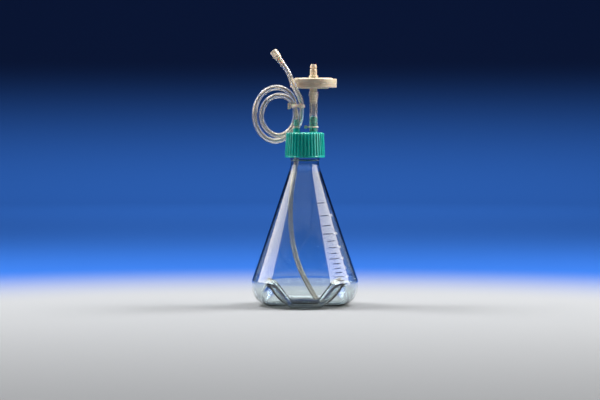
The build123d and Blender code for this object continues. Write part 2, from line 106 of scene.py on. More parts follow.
# ---- routes of the silicone tubes, as in the CAD model ----
LINE_R = 3.175 * MM
LINE_BORE_R = 1.6 * MM
LINE_ROUTE = [
    (-0.0104, 0.0, 0.2174), (-0.0104, 0.0, 0.2310), (-0.0120, 0.0, 0.2446),
    (-0.0202, 0.0002, 0.2558), (-0.0330, 0.0008, 0.2590), (-0.0452, 0.0016, 0.2538),
    (-0.0532, 0.0024, 0.2422), (-0.0540, 0.0038, 0.2280), (-0.0476, 0.0066, 0.2154),
    (-0.0362, 0.0106, 0.2078), (-0.0238, 0.0164, 0.2100), (-0.0154, 0.0178, 0.2190),
    (-0.0120, 0.0132, 0.2296), (-0.0116, 0.0082, 0.2406), (-0.0126, 0.0074, 0.2518),
    (-0.0188, 0.0070, 0.2618), (-0.0298, 0.0062, 0.2682), (-0.0428, 0.0052, 0.2674),
    (-0.0536, 0.0044, 0.2596), (-0.0604, 0.0038, 0.2478), (-0.0624, 0.0040, 0.2340),
    (-0.0600, 0.0054, 0.2202), (-0.0528, 0.0086, 0.2084), (-0.0414, 0.0134, 0.2016),
    (-0.0288, 0.0192, 0.2028), (-0.0184, 0.0236, 0.2104), (-0.0098, 0.0218, 0.2186),
    (-0.0050, 0.0156, 0.2268), (-0.0043, 0.0076, 0.2350), (-0.0041, -0.0008, 0.2432),
    (-0.0046, -0.0096, 0.2506), (-0.0072, -0.0182, 0.2572), (-0.0118, -0.0246, 0.2650),
    (-0.0158, -0.0262, 0.2744), (-0.0192, -0.0230, 0.2840), (-0.0250, -0.0180, 0.2936),
    (-0.0318, -0.0140, 0.3026),
]
DIP_ROUTE = [
    (-0.0104, 0.0, 0.2007), (-0.0104, 0.0, 0.1870), (-0.0119, -0.0003, 0.1680),
    (-0.0156, -0.0009, 0.1500), (-0.0178, -0.0015, 0.1290), (-0.0179, -0.0020, 0.1080),
    (-0.0166, -0.0024, 0.0880), (-0.0134, -0.0026, 0.0680), (-0.0076, -0.0024, 0.0485),
    (0.0018, -0.0020, 0.0285), (0.0141, -0.0016, 0.0069),
]


# ---- camera ----
CAMERA_PLACE = (-0.0061, -2.70, 0.236)
CAMERA_AIM = (-0.0061, 0.0, 0.1297)
CAMERA_LENS = 132


def aim_at(thing, target):
    """Turns a camera or a light, whose front is -Z, to a point."""
    thing.rotation_euler = (Vector(target) - thing.location).to_track_quat("-Z", "Y").to_euler()


def add_camera():
    """A long lens a little above the flask's middle, level but for two degrees."""
    data = bpy.data.cameras.new("camera")
    data.lens = CAMERA_LENS
    data.sensor_width = 36
    data.clip_start = 0.05
    camera = bpy.data.objects.new("camera", data)
    bpy.context.scene.collection.objects.link(camera)
    camera.location = CAMERA_PLACE
    aim_at(camera, CAMERA_AIM)
    bpy.context.scene.camera = camera


add_camera()


# ---- materials ----
def new_material(name, color, roughness, **sockets):
    """A Principled material, with the values of its other sockets by name, _ for each space."""
    material = bpy.data.materials.new(name)
    material.use_nodes = True
    shader = material.node_tree.nodes["Principled BSDF"]
    shader.inputs["Base Color"].default_value = (*color, 1.0)
    shader.inputs["Roughness"].default_value = roughness
    for socket, value in sockets.items():
        shader.inputs[socket.replace("_", " ")].default_value = value
    return material


def add_noise(material, scale, detail=3.0):
    """A noise texture node in the frame's own metres."""
    tree = material.node_tree
    place = tree.nodes.new("ShaderNodeTexCoord")
    noise = tree.nodes.new("ShaderNodeTexNoise")
    noise.inputs["Scale"].default_value = scale
    noise.inputs["Detail"].default_value = detail
    tree.links.new(place.outputs["Object"], noise.inputs["Vector"])
    return noise


def mottle(material, scale, dark, light):
    """Varies the base color between two colors over a noise."""
    tree = material.node_tree
    noise = add_noise(material, scale)
    ramp = tree.nodes.new("ShaderNodeValToRGB")
    ramp.color_ramp.elements[0].position = 0.3
    ramp.color_ramp.elements[0].color = (*dark, 1.0)
    ramp.color_ramp.elements[1].position = 0.7
    ramp.color_ramp.elements[1].color = (*light, 1.0)
    tree.links.new(noise.outputs["Fac"], ramp.inputs["Fac"])
    tree.links.new(ramp.outputs["Color"], tree.nodes["Principled BSDF"].inputs["Base Color"])


def vary_roughness(material, scale, low, high):
    """Varies the roughness between two values over a noise."""
    tree = material.node_tree
    noise = add_noise(material, scale)
    span = tree.nodes.new("ShaderNodeMapRange")
    span.inputs["To Min"].default_value = low
    span.inputs["To Max"].default_value = high
    tree.links.new(noise.outputs["Fac"], span.inputs["Value"])
    tree.links.new(span.outputs["Result"], tree.nodes["Principled BSDF"].inputs["Roughness"])


def grain(material, scale, strength, depth):
    """A fine moulded grain, as a bump."""
    tree = material.node_tree
    noise = add_noise(material, scale)
    bump = tree.nodes.new("ShaderNodeBump")
    bump.inputs["Strength"].default_value = strength
    bump.inputs["Distance"].default_value = depth
    tree.links.new(noise.outputs["Fac"], bump.inputs["Height"])
    tree.links.new(bump.outputs["Normal"], tree.nodes["Principled BSDF"].inputs["Normal"])


def make_materials():
    """Every material by its short name."""
    clear = new_material("clear_polycarbonate", (0.84, 0.9, 0.91), 0.02, IOR=1.55, Transmission_Weight=1.0)
    grain(clear, 90, 0.05, 0.3 * MM)
    green = new_material("cap_polypropylene", (0.008, 0.38, 0.325), 0.22, Specular_IOR_Level=0.6)
    mottle(green, 60, (0.004, 0.35, 0.295), (0.012, 0.42, 0.365))
    vary_roughness(green, 300, 0.1, 0.2)
    grain(green, 1500, 0.25, 0.05 * MM)
    port_green = new_material("port_polypropylene", (0.0, 0.46, 0.42), 0.28)
    mottle(port_green, 60, (0.0, 0.42, 0.38), (0.005, 0.5, 0.46))
    vary_roughness(port_green, 300, 0.22, 0.36)
    silicone = new_material("silicone_tube", (0.97, 0.91, 0.8), 0.16, IOR=1.41, Transmission_Weight=0.87)
    vary_roughness(silicone, 120, 0.1, 0.22)
    grain(silicone, 260, 0.12, 0.1 * MM)
    ivory = new_material("filter_polypropylene", (0.58, 0.475, 0.35), 0.38, Specular_IOR_Level=0.35,
                         Subsurface_Weight=0.15, Subsurface_Scale=0.002)
    mottle(ivory, 45, (0.535, 0.435, 0.315), (0.62, 0.525, 0.4))
    vary_roughness(ivory, 200, 0.32, 0.46)
    grain(ivory, 1200, 0.2, 0.05 * MM)
    # Painted light: the filter barb is the housing's own ivory plastic, painted much lighter to stand in
    # for the light that the silicone tube round it keeps out.
    painted_lit_ivory = new_material("filter_barb_painted_light", (0.95, 0.86, 0.74), 0.34)
    mottle(painted_lit_ivory, 90, (0.91, 0.81, 0.68), (0.98, 0.91, 0.8))
    vary_roughness(painted_lit_ivory, 200, 0.28, 0.42)
    cream = new_material("luer_nylon", (0.75, 0.66, 0.52), 0.3,
                         Subsurface_Weight=0.25, Subsurface_Scale=0.002)
    mottle(cream, 120, (0.7, 0.6, 0.46), (0.8, 0.72, 0.58))
    vary_roughness(cream, 300, 0.24, 0.38)
    frost = new_material("luer_collar_plastic", (0.88, 0.76, 0.6), 0.25, IOR=1.5, Transmission_Weight=0.3)
    vary_roughness(frost, 300, 0.14, 0.28)
    nylon = new_material("tie_nylon", (0.72, 0.67, 0.54), 0.34,
                         Subsurface_Weight=0.3, Subsurface_Scale=0.001)
    mottle(nylon, 200, (0.66, 0.6, 0.47), (0.77, 0.73, 0.61))
    vary_roughness(nylon, 400, 0.28, 0.42)
    seal = new_material("gasket_silicone", (0.85, 0.84, 0.8), 0.5)
    mottle(seal, 150, (0.8, 0.79, 0.75), (0.88, 0.87, 0.84))
    membrane = new_material("membrane", (0.9, 0.9, 0.88), 0.85)
    grain(membrane, 4000, 0.5, 0.05 * MM)
    # Painted reflection: the scale's marks are moulded ridges, and the ticks' near-black stands in for the
    # dark surroundings that the ridges reflect.
    painted_dark_tick = new_material("scale_painted_reflection", (0.012, 0.014, 0.02), 0.7, Specular_IOR_Level=0.1)
    mottle(painted_dark_tick, 700, (0.008, 0.01, 0.014), (0.02, 0.023, 0.03))
    # Painted glint: the numerals are moulded, and their pale colour stands in for the glints of light that
    # they catch.
    pale = new_material("numeral_painted_glint", (0.8, 0.82, 0.85), 0.6, Specular_IOR_Level=0.2)
    mottle(pale, 700, (0.7, 0.72, 0.76), (0.88, 0.9, 0.92))
    return {
        "clear": clear, "green": green, "port_green": port_green, "silicone": silicone, "ivory": ivory,
        "painted_lit_ivory": painted_lit_ivory, "cream": cream, "frost": frost, "nylon": nylon, "seal": seal,
        "membrane": membrane, "painted_dark_tick": painted_dark_tick, "pale": pale,
    }


MATERIALS = make_materials()


# ---- mesh tools ----
def new_piece(name, verts, faces, material, sharp=40, merge=True):
    """A mesh piece with its doubles merged, outward normals and smooth shading."""
    mesh = bpy.data.meshes.new(name)
    mesh.from_pydata([tuple(v) for v in verts], [], faces)
    shaped = bmesh.new()
    shaped.from_mesh(mesh)
    if merge:
        bmesh.ops.remove_doubles(shaped, verts=shaped.verts, dist=1e-7)
    bmesh.ops.recalc_face_normals(shaped, faces=shaped.faces)
    shaped.to_mesh(mesh)
    shaped.free()
    mesh.polygons.foreach_set("use_smooth", [True] * len(mesh.polygons))
    mesh.set_sharp_from_angle(angle=math.radians(sharp))
    piece = bpy.data.objects.new(name, mesh)
    bpy.context.scene.collection.objects.link(piece)
    mesh.materials.append(material)
    return piece


def grid_faces(rows, columns, closed_rows=False):
    """Quads between the rows of a grid whose columns go right round."""
    faces = []
    for i in range(rows if closed_rows else rows - 1):
        low = i * columns
        high = (i + 1) % rows * columns
        for j in range(columns):
            k = (j + 1) % columns
            faces.append((low + j, low + k, high + k, high + j))
    return faces


def rounded(outline, radius, steps=4):
    """A closed outline of (r, z) corners, each rounded. A third value is a corner's own radius."""
    points = []
    for index, corner in enumerate(outline):
        place = np.array(corner[:2], float)
        size = corner[2] if len(corner) > 2 else radius
        if size <= 0 or place[0] <= 0:
            points.append(place)
            continue
        back = np.array(outline[index - 1][:2], float) - place
        ahead = np.array(outline[(index + 1) % len(outline)][:2], float) - place
        back_length, ahead_length = np.linalg.norm(back), np.linalg.norm(ahead)
        back, ahead = back / back_length, ahead / ahead_length
        half_angle = math.acos(max(-1.0, min(1.0, float(back @ ahead)))) / 2
        reach = min(size / math.tan(half_angle), 0.48 * back_length, 0.48 * ahead_length)
        for share in np.linspace(0, 1, steps + 1):
            points.append(place + back * reach * (1 - share) ** 2 + ahead * reach * share**2)
    return np.array(points)


def lathe(outline, columns, shape=None):
    """Vertices and faces of a closed outline turned about +Z. shape moves the radius."""
    azimuth = np.arange(columns) * FULL_TURN / columns
    radius = np.repeat(outline[:, :1], columns, axis=1)
    height = np.repeat(outline[:, 1:2], columns, axis=1)
    if shape:
        radius = shape(radius, height, azimuth)
    verts = np.stack([radius * np.cos(azimuth), radius * np.sin(azimuth), height], axis=-1)
    return verts.reshape(-1, 3), grid_faces(len(outline), columns, closed_rows=True)


def moved(part, matrix):
    """Vertices and faces of a part, placed by a matrix."""
    verts, faces = part
    return [tuple(matrix @ Vector(v)) for v in verts], faces


def at(x=0.0, y=0.0, z=0.0):
    """The matrix of a place."""
    return Matrix.Translation((x, y, z))


def merged(parts):
    """Several parts as one set of vertices and faces."""
    verts, faces = [], []
    for part_verts, part_faces in parts:
        base = len(verts)
        verts += [tuple(v) for v in part_verts]
        faces += [tuple(base + i for i in face) for face in part_faces]
    return verts, faces


def block(size, bevel):
    """A box about the origin with rounded edges."""
    shaped = bmesh.new()
    bmesh.ops.create_cube(shaped, size=1.0, matrix=Matrix.Diagonal((*size, 1.0)))
    bmesh.ops.bevel(shaped, geom=shaped.edges[:], offset=bevel, segments=3, profile=0.5, affect="EDGES")
    verts = [tuple(v.co) for v in shaped.verts]
    faces = [tuple(v.index for v in face.verts) for face in shaped.faces]
    shaped.free()
    return verts, faces


def install(piece, body, replaces=(), bend=()):
    """Puts a piece on a CAD body, in place of the CAD nodes that it stands for.

    A piece with a bend is on no body: its place is baked into its mesh, and the bend's points are not used.
    """
    if bend:
        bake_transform(piece)
    else:
        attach(piece, body)
    if replaces:
        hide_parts(*replaces)
    return piece


# ---- thread ----
THREAD_RUN_IN = 0.06


def thread(height, azimuth, start_z, turns, depth):
    """How far a right-hand thread stands out at each place."""
    best = np.zeros(np.broadcast(height, azimuth).shape)
    for lap in range(-1, math.ceil(turns) + 1):
        along = azimuth / FULL_TURN + lap
        off = np.abs(height - start_z - PITCH * along)
        flank = np.clip((THREAD_ROOT / 2 - off) / ((THREAD_ROOT - THREAD_CREST) / 2), 0, 1)
        run_in = np.clip(along / THREAD_RUN_IN, 0, 1) * np.clip((turns - along) / THREAD_RUN_IN, 0, 1)
        best = np.maximum(best, flank * run_in)
    return depth * best


# ---- flask ----
FLASK_COLUMNS = 360
LOWER_ROWS = 110
EYE_Z = 35.0 * MM
LOWER_TOP_Z = 34.0 * MM
CONE_TOP_Z = 140.0 * MM
BAFFLE_CREST = 4.0 * MM
BISECTIONS = 36
RAY_LENGTH = 0.1
HEEL_STEPS = 24
CONE_FOOT_BLEND = 1.2 * MM


def arc_through(start, middle, end, steps):
    """Points of the circle through three points, after the first."""
    (ax, ay), (bx, by), (cx, cy) = start, middle, end
    scale = 2 * (ax * (by - cy) + bx * (cy - ay) + cx * (ay - by))
    a2, b2, c2 = ax * ax + ay * ay, bx * bx + by * by, cx * cx + cy * cy
    x = (a2 * (by - cy) + b2 * (cy - ay) + c2 * (ay - by)) / scale
    y = (a2 * (cx - bx) + b2 * (ax - cx) + c2 * (bx - ax)) / scale
    radius = math.hypot(ax - x, ay - y)
    first, last = math.atan2(ay - y, ax - x), math.atan2(cy - y, cx - x)
    turns = np.linspace(first, last, steps)[1:]
    return [(x + radius * math.cos(t), y + radius * math.sin(t)) for t in turns]


def cone_radius(z, inset=0.0):
    """The cone's radius at a height, less a wall thickness square to it."""
    return BODY_R - (z - CONE_FOOT_Z) * math.tan(CONE_SLOPE) - inset / math.cos(CONE_SLOPE)


def flask_outline(inset, throat_r, top_z):
    """The flask's outside, or its inside when inset is the wall, from the base's centre up."""
    body_r = BODY_R - inset
    cone_foot_z = CONE_FOOT_Z + (inset - inset / math.cos(CONE_SLOPE)) / math.tan(CONE_SLOPE)
    throat_z = CONE_FOOT_Z + (cone_radius(CONE_FOOT_Z, inset) - throat_r) / math.tan(CONE_SLOPE)
    heel_start = (FOOT_OUTER_R - 0.3 * inset, inset)
    heel_mid = (HEEL_MID[0] - 0.72 * inset, HEEL_MID[1] + 0.69 * inset)
    corners = [
        (0.0, PUSH_UP + inset), (PUSH_UP_R - inset / 2, PUSH_UP + inset, 3 * MM),
        (FOOT_INNER_R - inset / 2, inset, 2 * MM), (*heel_start, 0.0),
        *[(*p, 0.0) for p in arc_through(heel_start, heel_mid, (body_r, HEEL_TOP_Z), HEEL_STEPS)],
        (body_r, cone_foot_z, CONE_FOOT_BLEND), (throat_r, throat_z, THROAT_BLEND_R),
        (throat_r, top_z, 0.0),
    ]
    outline = rounded([*corners, (0.0, top_z)], 0.0, steps=16)[:-1]
    return dense(outline, 0.4 * MM)


def dense(outline, step):
    """An open outline with points no further apart than a step."""
    points = [outline[0]]
    for start, end in zip(outline, outline[1:]):
        count = max(1, math.ceil(np.linalg.norm(end - start) / step))
        points += [start + (end - start) * k / count for k in range(1, count + 1)]
    return np.array(points)


def smaller(a, b, blend):
    """The smaller of two values, rounded off where they cross."""
    share = np.clip(0.5 + 0.5 * (b - a) / blend, 0, 1)
    return b * (1 - share) + a * share - blend * share * (1 - share)


def baffle_top(radius, across):
    """The height of the dented base at a distance across from a baffle's ridge."""
    inner = BAFFLE_PEAK_Z * (radius - BAFFLE_INNER_R) / (BAFFLE_PEAK_R - BAFFLE_INNER_R)
    outer = BAFFLE_PEAK_Z + (radius - BAFFLE_PEAK_R) * BAFFLE_OUTER_SLOPE
    drop = (np.sqrt(across**2 + BAFFLE_EDGE**2) - BAFFLE_EDGE) / BAFFLE_SPREAD
    return smaller(inner, outer, BAFFLE_CREST) - drop


def lower_rows(outline, azimuth, rise, rows):
    """Radius and height of the dented base, on rays from a point on the flask's axis."""
    climb = np.arctan2(outline[:, 1] - EYE_Z, outline[:, 0])
    reach = np.hypot(outline[:, 0], outline[:, 1] - EYE_Z)
    last = np.interp(LOWER_TOP_Z, outline[:, 1][outline[:, 0] > FOOT_OUTER_R],
                     climb[outline[:, 0] > FOOT_OUTER_R])
    angle = np.linspace(-math.pi / 2, last, rows)[:, None]
    body = np.interp(angle, climb, reach) + 0 * azimuth
    quarter = FULL_TURN / BAFFLE_COUNT
    turn = (azimuth - BAFFLE_AZIMUTH + quarter / 2) % quarter - quarter / 2
    near, far = np.zeros_like(body), np.full_like(body, RAY_LENGTH)
    for _ in range(BISECTIONS):
        middle = (near + far) / 2
        radius = middle * np.cos(angle)
        height = EYE_Z + middle * np.sin(angle)
        above = height > baffle_top(radius * np.cos(turn), radius * np.sin(turn)) + rise
        near, far = np.where(above, middle, near), np.where(above, far, middle)
    reach = smaller(body, near, BAFFLE_BLEND)
    return reach * np.cos(angle), EYE_Z + reach * np.sin(angle)


def upper_rows(outline, heights, azimuth):
    """Radius and height of the plain upper part, at the given heights."""
    top = outline[outline[:, 1] > CONE_FOOT_Z - 1 * MM]
    radius = np.interp(heights, top[:, 1], top[:, 0])[:, None] + 0 * azimuth
    return radius, heights[:, None] + 0 * azimuth


def make_flask():
    """The flask as one closed shell: outside, rim and inside."""
    azimuth = np.arange(FLASK_COLUMNS) * FULL_TURN / FLASK_COLUMNS
    outer = flask_outline(0.0, THROAT_R, THROAT_TOP_Z)
    inner = flask_outline(WALL, BORE_R, RIM_Z + 1 * MM)
    wall_rise = WALL * math.hypot(1, BAFFLE_SPREAD) / BAFFLE_SPREAD
    cone = np.linspace(LOWER_TOP_Z + 1 * MM, CONE_TOP_Z, 30)
    throat = np.linspace(CONE_TOP_Z + 2 * MM, THROAT_TOP_Z, 24)
    finish = rounded([
        (THROAT_R, THROAT_TOP_Z - 1 * MM, 0), (THROAT_R, THROAT_TOP_Z), (FINISH_R, FINISH_Z),
        (FINISH_R, RIM_Z), (BORE_R, RIM_Z), (BORE_R, RIM_Z - 3 * MM, 0),
    ], 0.6 * MM, steps=5)
    lip = dense(finish[finish[:, 1] > THROAT_TOP_Z], 0.3 * MM)
    lip_radius = lip[:, :1] + 0 * azimuth
    lip_height = lip[:, 1:] + 0 * azimuth
    outside = lip_radius > FINISH_R - 0.01 * MM
    lip_radius = lip_radius + outside * thread(lip_height, azimuth, NECK_THREAD_Z, NECK_THREAD_TURNS,
                                               NECK_THREAD_HEIGHT)
    parts = [
        lower_rows(outer, azimuth, 0.0, LOWER_ROWS),
        upper_rows(outer, np.concatenate([cone, throat]), azimuth),
        (lip_radius, lip_height),
        upper_rows(inner, np.concatenate([cone, throat, [RIM_Z - 4 * MM]])[::-1], azimuth),
        tuple(values[::-1] for values in lower_rows(inner, azimuth, wall_rise, LOWER_ROWS)),
    ]
    radius = np.concatenate([part[0] for part in parts])
    height = np.concatenate([part[1] for part in parts])
    verts = np.stack([radius * np.cos(azimuth), radius * np.sin(azimuth), height], axis=-1)
    faces = grid_faces(len(radius), len(azimuth))
    piece = new_piece("flask", verts.reshape(-1, 3), faces, MATERIALS["clear"], sharp=60)
    return install(piece, "flask", ["flask_body"])


make_flask()


# ---- moulded scale, its colours painted reflection and painted glints ----
# The marks are spaced as volumes in a cone slimmer than the cavity, which holds 53 to 55 mL
# between two of them, and about 275 mL up to the first.
MARK_FOOT_Z = 29.6 * MM
MARK_FOOT_R = 60.6 * MM
MARK_TAPER = 0.316
MARK_FIRST, MARK_LAST, MARK_STEP = 300, 950, 50
MARK_RIGHT_AZIMUTH = math.radians(-90 + 48)
MARK_WIDTH = 11.4 * MM
MARK_WIDE = 14.6 * MM
MARK_HEIGHT = 0.8 * MM
MARK_STEPS = 16
MARK_LIFT = 0.07 * MM
NUMERAL_SIZE = 4.6 * MM
NUMERAL_AZIMUTH = math.radians(-90 + 51)


def mark_height(volume_ml):
    """The height of a nominal volume's mark."""
    volume = (volume_ml - MARK_FIRST) * 1e-6
    cube = MARK_FOOT_R**3 - 3 * MARK_TAPER * volume / math.pi
    return MARK_FOOT_Z + (MARK_FOOT_R - cube ** (1 / 3)) / MARK_TAPER


def on_cone(along, up, azimuth, z):
    """A point on the cone's skin: along and up in metres from a place on it."""
    height = z + up * math.cos(CONE_SLOPE)
    radius = min(cone_radius(height), BODY_R) + MARK_LIFT
    turn = azimuth + along / radius
    return radius * math.cos(turn), radius * math.sin(turn), height


def make_scale():
    """Ticks for each nominal 50 mL, wider for each 200, and numerals for each 100. The marks are moulded;
    the ticks' dark colour is painted reflection and the numerals' pale colour is painted glints.
    """
    ticks = []
    numerals = []
    for volume in range(MARK_FIRST, MARK_LAST + 1, MARK_STEP):
        z = mark_height(volume)
        width = MARK_WIDE if volume % 200 == 0 else MARK_WIDTH
        verts = [
            on_cone(-width * k / MARK_STEPS, side * MARK_HEIGHT / 2, MARK_RIGHT_AZIMUTH, z)
            for side in (-1, 1) for k in range(MARK_STEPS + 1)
        ]
        faces = [(k, k + MARK_STEPS + 1, k + MARK_STEPS + 2, k + 1) for k in range(MARK_STEPS)]
        ticks.append((verts, faces))
        if volume % 100 == 0:
            numerals.append(numeral(str(volume), z))
    tick_piece = new_piece("scale_ticks", *merged(ticks), MATERIALS["painted_dark_tick"])
    numeral_piece = new_piece("scale_numerals", *merged(numerals), MATERIALS["pale"])
    for piece in (tick_piece, numeral_piece):
        install(piece, "flask")


def numeral(text, z):
    """A number wrapped onto the cone."""
    curve = bpy.data.curves.new("numeral", "FONT")
    curve.body = text
    curve.size = NUMERAL_SIZE
    curve.align_y = "CENTER"
    curve.resolution_u = 4
    holder = bpy.data.objects.new("numeral", curve)
    mesh = bpy.data.meshes.new_from_object(holder)
    verts = [on_cone(v.co.x, v.co.y, NUMERAL_AZIMUTH, z) for v in mesh.vertices]
    faces = [tuple(polygon.vertices) for polygon in mesh.polygons]
    bpy.data.objects.remove(holder)
    bpy.data.curves.remove(curve)
    bpy.data.meshes.remove(mesh)
    return verts, faces


make_scale()


# ---- screw collar ----
COLLAR_FOOT_R = COLLAR_HIGH.x
COLLAR_TOP_R = COLLAR_FOOT_R - 1.35 * MM
COLLAR_RIM_H = 1.9 * MM
COLLAR_BORE_R = 21.2 * MM
COLLAR_MOUTH_R = 17.2 * MM
COLLAR_LIP = 2.5 * MM
RIB_COUNT = 36
RIB_DEPTH = 1.3 * MM
RIB_WIDTH = 2.2 * MM
RIB_FLANK = 0.22 * MM
COLUMNS_PER_RIB = 14
CAP_THREAD_TURNS = 1.75
CAP_THREAD_DEPTH = 1.8 * MM


def make_collar():
    """The ribbed collar, with its thread inside."""
    low, high = COLLAR_LOW.z, COLLAR_HIGH.z
    foot_r = COLLAR_FOOT_R - RIB_DEPTH
    top_r = COLLAR_TOP_R - RIB_DEPTH
    outline = rounded([
        (COLLAR_BORE_R, low), (COLLAR_FOOT_R, low), (COLLAR_FOOT_R, low + COLLAR_RIM_H),
        (foot_r, low + COLLAR_RIM_H + 0.5 * MM, 0.3 * MM), (top_r, high, 2.0 * MM),
        (COLLAR_MOUTH_R, high, 0.6 * MM), (COLLAR_MOUTH_R, high - COLLAR_LIP),
        (COLLAR_BORE_R, high - COLLAR_LIP),
    ], 0.45 * MM, steps=5)
    outline = dense(np.vstack([outline, outline[:1]]), 0.5 * MM)[:-1]

    def ribbed(radius, height, azimuth):
        pitch = FULL_TURN * foot_r / RIB_COUNT
        from_rib = np.abs((azimuth * RIB_COUNT / FULL_TURN + 0.5) % 1 - 0.5) * pitch
        rib = 0.5 - 0.5 * np.tanh((from_rib - RIB_WIDTH / 2) / RIB_FLANK)
        rib_low = low + COLLAR_RIM_H + 0.3 * MM
        foot = np.clip((height - rib_low) / (0.5 * MM), 0, 1)
        reach = foot * np.clip((high - 0.2 * MM - height) / (1.6 * MM), 0, 1)
        wall_r = foot_r + (top_r - foot_r) * np.clip((height - rib_low) / (high - rib_low), 0, 1)
        hollow = (radius < COLLAR_BORE_R + 0.01 * MM) & (height < high - COLLAR_LIP + 0.1 * MM)
        outside = (radius > wall_r - 1.9 * MM) & ~hollow
        inside = (np.abs(radius - COLLAR_BORE_R) < 0.01 * MM) & (height < high - COLLAR_LIP - 0.5 * MM)
        groove = thread(height, azimuth, NECK_THREAD_Z + PITCH / 2, CAP_THREAD_TURNS, CAP_THREAD_DEPTH)
        return radius + outside * RIB_DEPTH * rib * np.sqrt(reach) - inside * groove

    verts, faces = lathe(outline, RIB_COUNT * COLUMNS_PER_RIB, ribbed)
    piece = new_piece("collar", verts, faces, MATERIALS["green"], sharp=50)
    return install(piece, "collar", ["screw_collar"])


make_collar()


# ---- barbs and port plate ----
def barb_outline(stem_r, ridge_r, foot, tip, ridges, bore_r):
    """A hose barb's closed outline, from its foot to its tip and back down its bore."""
    way = 1 if tip > foot else -1
    tooth = abs(tip - foot) / (ridges + 1.2)
    points = [(bore_r, foot, 0), (stem_r, foot, 0)]
    for index in range(ridges):
        edge = tip - way * (tooth * (ridges - index) - 0.1 * tooth)
        points.append((stem_r, edge))
        points.append((ridge_r, edge + way * 0.15 * tooth))
        points.append((stem_r, edge + way * 0.85 * tooth))
    points += [(stem_r - 0.15 * MM, tip), (bore_r, tip, 0)]
    return rounded(points, 0.12 * MM, steps=3)


VENT_BARB = (3.35 * MM, 4.0 * MM)
LINE_BARB = (1.9 * MM, 2.35 * MM)
VENT_BARB_BORE_R = 2.2 * MM
VENT_GRIP_R = 2.7 * MM
LINE_BARB_BORE_R = 1.0 * MM
LINE_GRIP_R = 1.3 * MM
VENT_STUB_TOP_Z = 214.0 * MM
VENT_BARB_TOP_Z = PLATE_HIGH.z
LINE_STUB_TOP_Z = 217.4 * MM
LINE_BARB_TOP_Z = 228.4 * MM
DIP_STUB_Z = 200.8 * MM


def make_port_plate():
    """The port plate with its plug ring and its three barbed ports."""
    top = COLLAR_HIGH.z - 0.2 * MM
    seat = 207.4 * MM
    plug_low = 202.6 * MM
    step = COLLAR_HIGH.z - COLLAR_LIP - 0.15 * MM
    plate = rounded([
        (0, seat), (14.1 * MM, seat, 0.6 * MM), (14.1 * MM, plug_low), (15.7 * MM, plug_low, 0.6 * MM),
        (15.7 * MM, seat, 0.3 * MM), (19.1 * MM, seat), (19.1 * MM, step), (16.9 * MM, step),
        (16.9 * MM, top, 0.6 * MM), (0, top),
    ], 0.3 * MM)

    def stub(x, radius, flare, low, high, bore_r):
        outline = rounded([
            (bore_r, low, 0), (radius + flare, low, 0), (radius, low + 2.2 * flare, 2 * flare),
            (radius, high, 0.5 * MM), (bore_r, high, 0),
        ], 0.3 * MM, steps=6)
        return moved(lathe(outline, 48), at(x))

    def barb(x, radii, foot, tip, bore_r, columns):
        return moved(lathe(barb_outline(*radii, foot, tip, 3, bore_r), columns), at(x))

    parts = [
        lathe(plate, 120),
        stub(PORT_X, 4.7 * MM, 0.5 * MM, top - 0.1 * MM, VENT_STUB_TOP_Z, VENT_BARB_BORE_R),
        stub(-PORT_X, 4.3 * MM, 0.5 * MM, top - 0.1 * MM, LINE_STUB_TOP_Z, LINE_BARB_BORE_R),
        stub(-PORT_X, 3.6 * MM, 0.0, DIP_STUB_Z, seat + 0.5 * MM, LINE_BARB_BORE_R),
        barb(PORT_X, VENT_BARB, VENT_STUB_TOP_Z - 0.5 * MM, VENT_BARB_TOP_Z, VENT_BARB_BORE_R, 48),
        barb(-PORT_X, LINE_BARB, LINE_STUB_TOP_Z - 0.5 * MM, LINE_BARB_TOP_Z, LINE_BARB_BORE_R, 32),
        barb(-PORT_X, LINE_BARB, DIP_STUB_Z + 0.5 * MM, PLATE_LOW.z, LINE_BARB_BORE_R, 32),
    ]
    piece = new_piece("ports", *merged(parts), MATERIALS["port_green"])
    return install(piece, "head", ["port_plate"])


make_port_plate()


# ---- silicone tubes ----
def route_points(name, route):
    """Points along the smooth line that a route's NURBS spline gives."""
    curve = bpy.data.curves.new(name, "CURVE")
    curve.dimensions = "3D"
    curve.resolution_u = 14
    spline = curve.splines.new("NURBS")
    spline.points.add(len(route) - 1)
    for point, place in zip(spline.points, route):
        point.co = (*place, 1.0)
    spline.order_u = 3
    spline.use_endpoint_u = True
    holder = bpy.data.objects.new(name, curve)
    mesh = bpy.data.meshes.new_from_object(holder)
    points = [v.co.copy() for v in mesh.vertices]
    bpy.data.objects.remove(holder)
    bpy.data.curves.remove(curve)
    bpy.data.meshes.remove(mesh)
    return points


def run_lengths(points):
    """How far along its line each point is."""
    steps = [0.0] + [(b - a).length for a, b in zip(points, points[1:])]
    return np.cumsum(steps)


def hollow_tube(points, outer, inner, sides=32):
    """A tube's closed skin along points, with an outer and an inner radius at each."""
    rings = []
    tangent = (points[1] - points[0]).normalized()
    side = tangent.orthogonal().normalized()
    for index, point in enumerate(points):
        before, after = points[max(index - 1, 0)], points[min(index + 1, len(points) - 1)]
        ahead = (after - before).normalized()
        side = (tangent.rotation_difference(ahead) @ side).normalized()
        tangent = ahead
        rings.append((point, side, tangent.cross(side)))
    verts = []
    for radii, order in ((outer, rings), (inner[::-1], rings[::-1])):
        for radius, (point, u, v) in zip(radii, order):
            for k in range(sides):
                turn = FULL_TURN * k / sides
                verts.append(point + float(radius) * (math.cos(turn) * u + math.sin(turn) * v))
    return verts, grid_faces(2 * len(points), sides, closed_rows=True)


